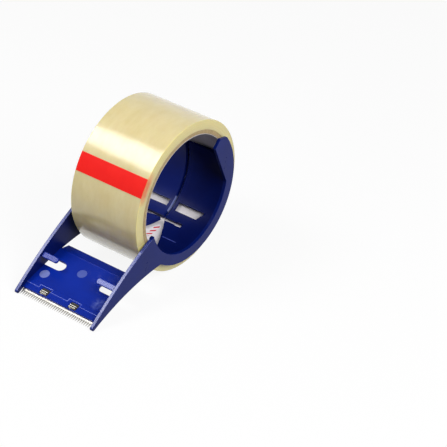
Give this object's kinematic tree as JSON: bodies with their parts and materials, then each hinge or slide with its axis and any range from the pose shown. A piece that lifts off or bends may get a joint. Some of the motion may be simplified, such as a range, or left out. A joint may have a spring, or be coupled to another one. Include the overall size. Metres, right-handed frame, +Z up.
{
  "type": "tape dispenser",
  "caption": "Hand-held packing tape dispenser: a springy moulded frame with a split hub and a serrated cutter blade, loaded with a roll of clear tape that turns on the hub.",
  "frame": {"origin": "on the table, in the middle of the part's length and width", "axes": "+X towards the cutter blade, +Y towards the left-hand arm along the roll's axis, +Z up"},
  "size_m": [0.1348, 0.058, 0.094],
  "materials": {
    "frame_plastic": "injection-moulded satin blue polypropylene",
    "blade_steel": "bright stamped strip",
    "core_board": "wound grey-brown cardboard",
    "liner_paper": "white paper with plain red dashes",
    "tape_film": "clear film with straw-coloured adhesive",
    "tab_film": "plain red film"
  },
  "bodies": {
    "bridge": {"front_bridge": "frame_plastic", "cutter_blade": "blade_steel"},
    "left_arm": {"left_side_arm": "frame_plastic"},
    "right_arm": {"right_side_arm": "frame_plastic"},
    "roll": {"tape_core": "core_board", "core_liner": "liner_paper", "tape_winding": "tape_film", "start_tab": "tab_film"}
  },
  "joints": [
    {"name": "roll_spin", "type": "hinge", "parent": "bridge", "child": "roll", "pos_m": [-0.0204, 0.002, 0.047], "axis": [0, 1, 0], "continuous": true},
    {"name": "left_arm_flex", "type": "hinge", "parent": "bridge", "child": "left_arm", "pos_m": [0.0316, 0.029, 0.0175], "axis": [0, 0, -1], "range_deg": [0, 2.4], "stiffness_Nm_per_rad": 0.6},
    {"name": "right_arm_flex", "type": "hinge", "parent": "bridge", "child": "right_arm", "pos_m": [0.0316, -0.029, 0.0175], "axis": [0, 0, 1], "range_deg": [0, 2.4], "stiffness_Nm_per_rad": 0.6}
  ]
}
